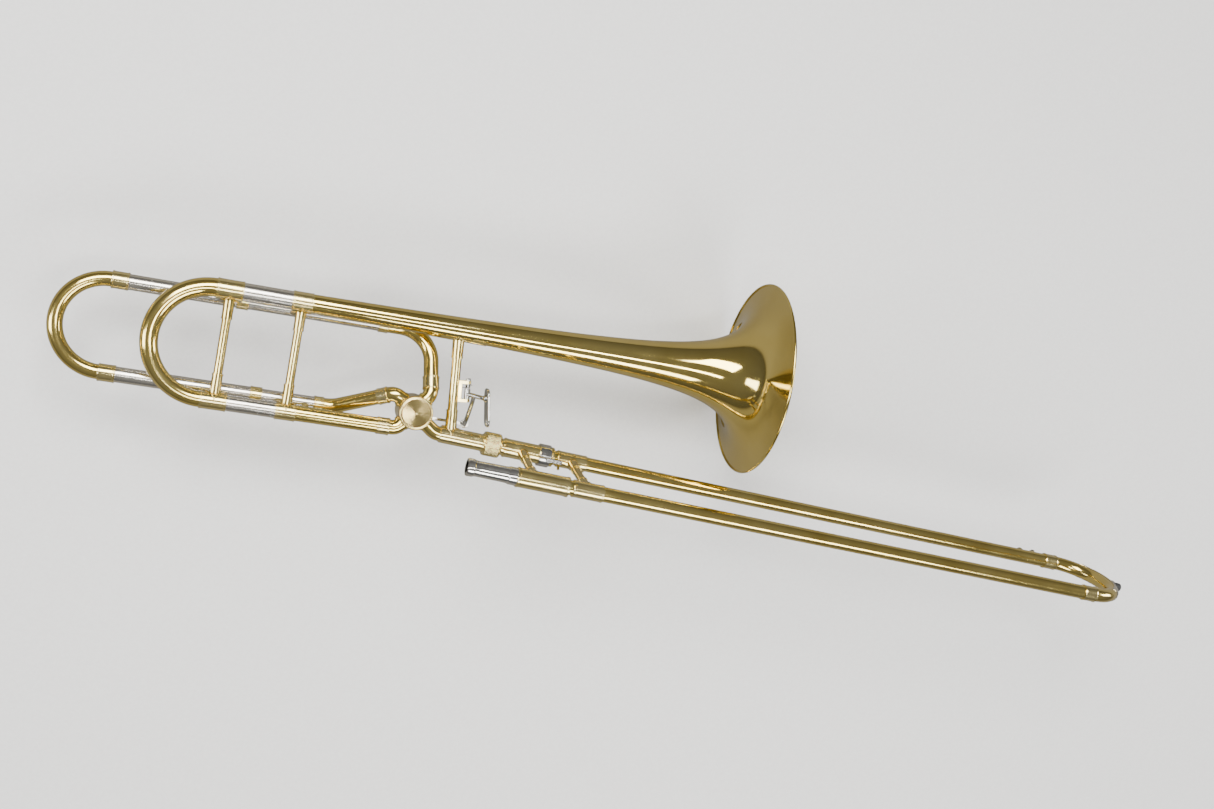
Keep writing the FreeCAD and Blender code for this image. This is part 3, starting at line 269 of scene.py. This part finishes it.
valve_middle = (VALVE_AXIS.x, VALVE_AXIS.y)
MATERIALS = {
    "bell": lacquered("bell_lacquer", (0.85, 0.68, 0.23), (0.77, 0.59, 0.16), (0.05, 0.11)),
    "brass": lacquered("tube_lacquer", BRASS, BRASS_DEEP),
    "ferrule": lacquered("ferrule_lacquer", (0.92, 0.77, 0.36), (0.82, 0.66, 0.25), (0.13, 0.24), 0.4),
    "brace": lacquered("brace_lacquer", (0.88, 0.72, 0.30), (0.77, 0.60, 0.20), (0.12, 0.24), 0.4, 0.9),
    "turned": turned("turned_brass", (0.93, 0.74, 0.33), (0.80, 0.60, 0.21), valve_middle, (0.17, 0.25)),
    "nickel": drawn("drawn_nickel", SILVER, SILVER_DEEP),
    "plate": plated("satin_plate", (0.62, 0.61, 0.585)),
    "silver": plated("silver_plate", (0.78, 0.76, 0.72), (0.07, 0.17)),
    "rubber": matte("black_rubber", (0.035, 0.035, 0.035), (0.015, 0.015, 0.015), 0.62, 900),
    "felt": matte("red_felt", (0.30, 0.05, 0.04), (0.16, 0.02, 0.02), 0.95, 2200, 0.0004, 0.6),
    "cork": matte("cork", (0.55, 0.36, 0.20), (0.25, 0.14, 0.07), 0.85, 1500, 0.0004),
}

FINISH = {
    "turned": ["rotor", "bearing_plate", "stop_plate"],
    "nickel": [
        "tuning_sleeve_upper", "tuning_sleeve_lower", "main_bow_legs", "wrap_sleeves", "wrap_runs",
        "wrap_bow_legs", "inner_tubes", "bow_guard", "leadpipe",
    ],
    "ferrule": [
        "sleeve_ferrules", "main_bow_ferrules", "valve_ferrules", "wrap_rings", "wrap_bow_ferrules",
        "handle_ferrules", "crook_ferrules", "cork_barrels", "slide_tenon", "receiver_tube", "lock_nut",
    ],
    "brace": [
        "neck_brace", "bow_brace", "hand_brace_rod", "hand_brace_receiver", "hand_brace_bell_foot",
        "slide_hand_brace", "outer_slide_brace", "wrap_stays", "lever_bracket", "key_saddle",
    ],
    "plate": ["thumb_lever", "link_rod", "stop_arm", "hinge_screw", "water_key", "key_pin", "slide_lock"],
    "silver": ["mouthpiece_receiver"],
    "rubber": ["stop_bumpers", "slide_bumper"],
    "felt": ["slide_corks"],
    "cork": ["key_cork"],
    "bell": ["bell", "bell_rim_wire"],
}
# A node that no list names is lacquered brass, like the tubes.
node_finish = {node: finish for finish, nodes in FINISH.items() for node in nodes}
for name, obj in NODES.items():
    material = MATERIALS[node_finish.get(name, "brass")]
    for slot in obj.material_slots:
        slot.material = material


# ------------------------------------------------------------------------------------------
# Mesh makers
# ------------------------------------------------------------------------------------------


def shape(name, points, faces, material, body, place=None, sharp=35):
    """A mesh piece that rides on body. Edges sharper than sharp degrees stay crisp."""
    mesh = bpy.data.meshes.new(name)
    if place:
        points = [place @ Vector(p) for p in points]
    mesh.from_pydata([tuple(p) for p in points], [], faces)
    mesh.validate()
    mesh.shade_smooth()
    mesh.set_sharp_from_angle(angle=math.radians(sharp))
    mesh.materials.append(MATERIALS[material])
    obj = bpy.data.objects.new(name, mesh)
    bpy.context.scene.collection.objects.link(obj)
    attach(obj, body)
    return obj


def lathe(name, profile, material, body, place, steps=96, ripple=None, sharp=35):
    """Turns a closed profile of (along, radius) in millimetres round X. Radius 0 closes on the axis."""
    points, rows = [], []
    for along, radius in profile:
        if radius == 0:
            rows.append([len(points)])
            points.append((along * MM, 0, 0))
            continue
        row = []
        for i in range(steps):
            angle = 2 * math.pi * i / steps
            reach = radius + (ripple(along, radius, angle) if ripple else 0)
            row.append(len(points))
            points.append((along * MM, reach * MM * math.cos(angle), reach * MM * math.sin(angle)))
        rows.append(row)
    faces = []
    for k, row in enumerate(rows):
        following = rows[(k + 1) % len(rows)]
        if len(row) == 1 and len(following) == 1:
            continue
        for i in range(steps):
            j = (i + 1) % steps
            if len(row) == 1:
                faces.append((row[0], following[i], following[j]))
            elif len(following) == 1:
                faces.append((row[i], following[0], row[j]))
            else:
                faces.append((row[i], following[i], following[j], row[j]))
    return shape(name, points, faces, material, body, place, sharp)


def wire(name, path, radius, material, body, place=None, sides=10):
    """A round wire along a list of points in millimetres, with flat ends."""
    path = [Vector(p) for p in path]
    points, faces = [], []
    normal = None
    for k, spot in enumerate(path):
        ahead = path[min(k + 1, len(path) - 1)] - path[max(k - 1, 0)]
        ahead.normalize()
        if normal is None:
            normal = ahead.orthogonal().normalized()
        normal = (normal - ahead * normal.dot(ahead)).normalized()
        side = ahead.cross(normal)
        for i in range(sides):
            angle = 2 * math.pi * i / sides
            points.append((spot + (normal * math.cos(angle) + side * math.sin(angle)) * radius) * MM)
    for k in range(len(path) - 1):
        for i in range(sides):
            j = (i + 1) % sides
            faces.append((k * sides + i, k * sides + j, (k + 1) * sides + j, (k + 1) * sides + i))
    faces.append(tuple(reversed(range(sides))))
    faces.append(tuple((len(path) - 1) * sides + i for i in range(sides)))
    return shape(name, points, faces, material, body, place, 50)


# ------------------------------------------------------------------------------------------
# Bell: one smooth spun skin, with its rolled rim
# ------------------------------------------------------------------------------------------

# The flare's radius at a distance back from the mouth is SIZE / (START + back) ** POWER, in millimetres.
FLARE_SIZE, FLARE_START, FLARE_POWER = 535.6, 12.2, 0.64
BELL_WALL = 0.6
BELL_STEPS = 120
bell_length = -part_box("bell")[0][0] * PER_METRE
rim_low, rim_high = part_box("bell_rim_wire")
rim_radius = rim_high[1] * PER_METRE
bead_radius = (rim_high[0] - rim_low[0]) * PER_METRE / 2


def flare(back):
    return FLARE_SIZE / (FLARE_START + back) ** FLARE_POWER


def bell_walls():
    """Outer and inner wall from the mouth to the tail. Steps are shorter near the mouth, where it curves."""
    outside, inside = [], []
    near = 0.01
    for i in range(BELL_STEPS + 1):
        back = bell_length * (i / BELL_STEPS) ** 2.2
        radius = flare(back)
        slope = (flare(back + near) - flare(back - near)) / (2 * near)
        normal = Vector((slope, 1)).normalized()
        if radius < rim_radius - 1.2 * bead_radius:
            outside.append((-back, radius))
            inside.append((-back - normal.x * BELL_WALL, radius - normal.y * BELL_WALL))
    return outside, inside


def rolled_rim():
    """The bead round the mouth, from the outer wall over the front to the inner wall."""
    first, sweep, steps = 195, 300, 14
    bead = []
    for i in range(steps + 1):
        angle = math.radians(first - sweep * i / steps)
        up = rim_radius - bead_radius + bead_radius * math.sin(angle)
        bead.append((bead_radius * math.cos(angle), up))
    return bead


outer_wall, inner_wall = bell_walls()
bell_outline = outer_wall[::-1] + rolled_rim() + inner_wall
bell_skin = lathe("bell_skin", bell_outline, "bell", "bell_section", Matrix.Identity(4), 192, sharp=60)
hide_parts("bell", "bell_rim_wire")

# ------------------------------------------------------------------------------------------
# Knurling
# ------------------------------------------------------------------------------------------


def knurl(low, high, outer, depth, cut):
    """A ripple for lathe(): presses the outer wall in between two heights, by cut(along, angle) x depth."""

    def ripple(along, radius, angle):
        if radius < outer - 0.3 or not low <= along <= high:
            return 0
        return -depth * cut(along, angle)

    return ripple


def straight(teeth):
    return lambda along, angle: (0.5 + 0.5 * math.cos(teeth * angle)) ** 0.7


def diamond(teeth, pitch):
    """Two crossed sets of grooves. Pitch is how far they lean, in radians of a tooth per millimetre."""

    def cut(along, angle):
        one = math.cos(teeth * angle + along * pitch)
        two = math.cos(teeth * angle - along * pitch)
        return 1 - max(0, one * two)

    return cut


# ------------------------------------------------------------------------------------------
# Valve cap: knurled edge and a faced, slightly coned top
# ------------------------------------------------------------------------------------------

cap_low, cap_high = (Vector(corner) * PER_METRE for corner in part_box("valve_cap"))
cap_radius = (cap_high.x - cap_low.x) / 2
cap_foot, cap_top = cap_low.z, cap_high.z
CAP_TEETH = 72
FACE_HEIGHT, FACE_INSET = 7.6, 2.3


def cap_outline():
    """Closed outline in (height, radius): inside, knurled edge, shoulder, coned face and centre mark."""
    inside = [(6.3, cap_radius), (6.3, 1.4), (0, 1.4), (0, 0.35)]
    edge = [(0.3 + 0.5 * i, 0) for i in range(12)]
    shoulder = [(6.4, 0.25), (6.9, 0.55), (7.35, 1.1), (7.5, 1.7), (7.42, 2.0), (FACE_HEIGHT, FACE_INSET)]
    outline = [(cap_foot + up, cap_radius - inset) for up, inset in inside + edge + shoulder]
    rings = 9
    rise = cap_top - cap_foot - FACE_HEIGHT
    for i in range(1, rings):
        reach = (cap_radius - FACE_INSET) * (1 - i / rings)
        outline.append((cap_foot + FACE_HEIGHT + rise * i / rings, max(reach, 1.6)))
    centre_mark = [(cap_top - 0.05, 1.1), (cap_top - 0.45, 0.5), (cap_top - 0.5, 0)]
    return outline + centre_mark


cap_place = basis(Vector((VALVE_AXIS.x, VALVE_AXIS.y, 0)), (0, 0, 1), Vector((1, 0, 0)))
cap_knurl = knurl(cap_foot + 0.4, cap_foot + 6.1, cap_radius, 0.3, straight(CAP_TEETH))
cap = lathe("valve_cap_turned", cap_outline(), "turned", "valve_cap", cap_place, 4 * CAP_TEETH, cap_knurl)
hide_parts("valve_cap")

# ------------------------------------------------------------------------------------------
# Receiver nut: diamond knurling between plain shoulders
# ------------------------------------------------------------------------------------------

NUT_RADIUS = 13.2
NUT_TEETH = 36


def nut_outline():
    """Closed outline in (along the slide, radius), from the bore round the front to the back."""
    bore = [(-12.5, 9.95), (0, 9.95), (0, 9.05), (6.5, 9.05)]
    front = [(6.5, 1.7), (5.9, 0.9), (5.4, 0.4), (5.0, 0.25), (4.4, 0.9)]
    knurled = [(4.1 - 0.28 * i, 0) for i in range(54)]
    back = [(-11.2, 0.9), (-11.6, 0.3), (-12.1, 0.6), (-12.5, 1.5)]
    return bore + [(along, NUT_RADIUS - inset) for along, inset in front + knurled + back]


nut_place = basis(SLIDE_FOOT, SLIDE_AXIS)
nut_knurl = knurl(-10.8, 4.1, NUT_RADIUS, 0.42, diamond(NUT_TEETH, 2.72))
nut = lathe("lock_nut_knurled", nut_outline(), "ferrule", "lock_nut", nut_place, 10 * NUT_TEETH,
            nut_knurl, sharp=50)
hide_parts("lock_nut")

# ------------------------------------------------------------------------------------------
# Springs
# ------------------------------------------------------------------------------------------


def coil(first, last, radius, turns, lead=(), trail=()):
    """Path of a spring wound round X from first to last, with its straight legs, in millimetres."""
    path = list(lead)
    count = int(turns * 24)
    for i in range(count + 1):
        angle = 2 * math.pi * turns * i / count
        along = first + (last - first) * i / count
        path.append((along, radius * math.cos(angle), radius * math.sin(angle)))
    return path + list(trail)


hinge_place = basis(HINGE_FOOT, HINGE_AXIS)
lever_path = coil(3.8, 7.4, 2.25, 4.5, [(3.7, 4.5, -6)], [(7.5, -3, 6.5)])
lever_spring = wire("lever_spring_coil", lever_path, 0.38, "plate", "bell_section", hinge_place)
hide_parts("lever_spring")

key_place = basis(KEY_FOOT, KEY_AXIS)
for i, side in enumerate((-1, 1)):
    key_path = coil(side * 2.0, side * 3.5, 1.75, 3.5, [(side * 1.9, 9, -1.6)], [(side * 3.6, 1.5, 3.4)])
    key_spring = wire(f"key_spring_coil_{i}", key_path, 0.26, "plate", "outer_slide", key_place)
    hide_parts("key_spring")


# ------------------------------------------------------------------------------------------
# Screw heads: a slotted, rounded head over each plain one
# ------------------------------------------------------------------------------------------


def slotted_head(name, radius, base, height, body, place, turn=0.0):
    """A low domed head along +X with a slot across it, from base to base + height in millimetres.

    It is a grid of columns across the slot. Two columns stand on each wall of the slot, one at the
    dome's level and one at the slot's floor, and share their points on the base.
    """
    half_slot = radius * 0.16
    columns = [-radius, -radius * 0.8, -radius * 0.55, -radius * 0.3, -half_slot, -half_slot]
    columns += [-x for x in reversed(columns)]
    floor_first, floor_last = 5, 6
    across = 14
    row = across + 1
    top, bottom, points, faces = [], [], [], []

    def corner(level, x, y):
        points.append((
            level * MM,
            (x * math.cos(turn) - y * math.sin(turn)) * MM,
            (x * math.sin(turn) + y * math.cos(turn)) * MM,
        ))
        return len(points) - 1

    def wall(k):
        return columns[k] == columns[k + 1]

    for k, x in enumerate(columns):
        half = math.sqrt(max(radius**2 - x**2, (radius * 0.12) ** 2))
        for j in range(row):
            y = -half + 2 * half * j / across
            dome = height * (1 - 0.45 * (x * x + y * y) / radius**2)
            if floor_first <= k <= floor_last:
                dome -= height * 0.42
            top.append(corner(base + dome, x, y))
            shared = k > 0 and wall(k - 1)
            bottom.append(bottom[-row] if shared else corner(base, x, y))
    for k in range(len(columns) - 1):
        for j in range(across):
            a, b, c, d = k * row + j, k * row + j + 1, (k + 1) * row + j + 1, (k + 1) * row + j
            faces.append((top[a], top[d], top[c], top[b]))
            if not wall(k):
                faces.append((bottom[a], bottom[b], bottom[c], bottom[d]))
        for j in (0, across):
            if wall(k):
                continue
            a, d = k * row + j, (k + 1) * row + j
            side = [top[a], bottom[a], bottom[d], top[d]]
            if k == floor_first - 2:
                side.insert(3, top[d + row])
            if k == floor_last + 1:
                side.insert(1, top[a - row])
            faces.append(tuple(side) if j == 0 else tuple(reversed(side)))
    for k in (0, len(columns) - 1):
        for j in range(across):
            a, b = k * row + j, k * row + j + 1
            quad = (top[a], top[b], bottom[b], bottom[a])
            faces.append(quad if k == 0 else quad[::-1])
    head = shape(name, points, faces, "plate", body, place, 30)


slotted_head("hinge_screw_head", 2.75, 13.25, 0.9, "bell_section", hinge_place, 0.6)
slotted_head("key_screw_head", 1.9, 5.95, 0.6, "outer_slide", key_place, 1.1)

# ------------------------------------------------------------------------------------------
# Floor, light and camera
# ------------------------------------------------------------------------------------------

low, high = (Vector(corner) for corner in cad_box)
middle = (low + high) / 2
FLOOR_GAP = 0.0005
FLOOR_REACH = 14.0


def pale_paper():
    """Matt pale paper. Mirror-like brass sees it darker than the eye does, as in a shaded studio."""
    paper = Nodes("pale_paper")
    grain = paper.noise(300, 4)
    tone = paper.ramp(grain, [(0.3, (0.80, 0.79, 0.78)), (0.7, (0.84, 0.835, 0.82))])
    rays = paper.add("ShaderNodeLightPath")
    seen = paper.add("ShaderNodeMix", data_type="RGBA")
    seen.inputs[7].default_value = (0.16, 0.15, 0.13, 1)
    paper.join(rays, "Is Glossy Ray", seen, 0)
    paper.join(tone, 0, seen, 6)
    paper.join(seen, 2, paper.shader, "Base Color")
    paper.value(paper.shader, Roughness=0.9)
    return paper.material


def lay_floor():
    level = low.z - FLOOR_GAP
    corners = [(x * FLOOR_REACH, y * FLOOR_REACH, level) for x, y in ((-1, -1), (1, -1), (1, 1), (-1, 1))]
    mesh = bpy.data.meshes.new("floor")
    mesh.from_pydata(corners, [], [(0, 1, 2, 3)])
    mesh.materials.append(pale_paper())
    obj = bpy.data.objects.new("floor", mesh)
    bpy.context.scene.collection.objects.link(obj)


def light_room():
    """Pale all round to the eye. Reflections see it dark at the floor and grey overhead instead."""
    world = bpy.data.worlds.new("studio")
    world.use_nodes = True
    bpy.context.scene.world = world
    tree = world.node_tree
    tree.nodes.clear()
    where = tree.nodes.new("ShaderNodeTexCoord")
    upwards = tree.nodes.new("ShaderNodeMapping")
    upwards.inputs["Rotation"].default_value = (0, math.radians(90), 0)
    upwards.inputs["Location"].default_value = (0.5, 0, 0)
    upwards.inputs["Scale"].default_value = (0.5, 0.5, 0.5)
    height = tree.nodes.new("ShaderNodeTexGradient")
    ramp = tree.nodes.new("ShaderNodeValToRGB")
    ramp.color_ramp.elements[0].color = (0.012, 0.012, 0.014, 1)
    ramp.color_ramp.elements[1].color = (0.34, 0.335, 0.32, 1)
    rays = tree.nodes.new("ShaderNodeLightPath")
    room = tree.nodes.new("ShaderNodeMix")
    room.data_type = "RGBA"
    room.inputs[6].default_value = (0.85, 0.85, 0.84, 1)
    back = tree.nodes.new("ShaderNodeBackground")
    back.inputs["Strength"].default_value = 0.7
    out = tree.nodes.new("ShaderNodeOutputWorld")
    tree.links.new(where.outputs["Generated"], upwards.inputs["Vector"])
    tree.links.new(upwards.outputs[0], height.inputs["Vector"])
    tree.links.new(height.outputs["Color"], ramp.inputs["Fac"])
    tree.links.new(rays.outputs["Is Glossy Ray"], room.inputs[0])
    tree.links.new(ramp.outputs[0], room.inputs[7])
    tree.links.new(room.outputs[2], back.inputs["Color"])
    tree.links.new(back.outputs[0], out.inputs["Surface"])


def softbox(name, place, target, size, power, color=(1, 1, 1)):
    light = bpy.data.lights.new(name, "AREA")
    light.shape = "RECTANGLE"
    light.size, light.size_y = size
    light.energy = power
    light.color = color
    obj = bpy.data.objects.new(name, light)
    obj.location = place
    obj.rotation_euler = (Vector(target) - Vector(place)).to_track_quat("-Z", "Y").to_euler()
    bpy.context.scene.collection.objects.link(obj)


def aim_camera(eye, target, right, lens):
    """A camera at eye that looks at target, with right along the picture's lower edge."""
    back_way = (eye - target).normalized()
    right = (right - back_way * right.dot(back_way)).normalized()
    over = back_way.cross(right)
    data = bpy.data.cameras.new("camera")
    data.lens = lens
    data.sensor_width = 36
    camera = bpy.data.objects.new("camera", data)
    camera.matrix_world = Matrix.Translation(eye) @ Matrix((right, over, back_way)).transposed().to_4x4()
    bpy.context.scene.collection.objects.link(camera)
    bpy.context.scene.camera = camera


lay_floor()
light_room()
softbox("key", middle + Vector((-0.7, 1.1, 1.9)), middle, (1.5, 0.9), 66, (1, 0.99, 0.97))
softbox("fill", middle + Vector((0.7, -1.5, 1.7)), middle, (1.6, 0.6), 36, (1, 1, 0.98))
softbox("above", Vector((-0.25, -0.26, 1.75)), Vector((-0.33, -0.08, 0)), (0.9, 0.16), 9, (1, 0.99, 0.96))
softbox("end", middle + Vector((-2.2, -0.3, 1.0)), middle, (0.5, 1.2), 18)
softbox("mouth", middle + Vector((2.3, 0.3, 0.9)), middle, (0.6, 1.0), 20)
aim_camera(Vector((-0.60, 0.035, 1.45)), Vector((-0.165, -0.055, 0)), Vector((0.9886, 0.1504, 0)), 41)
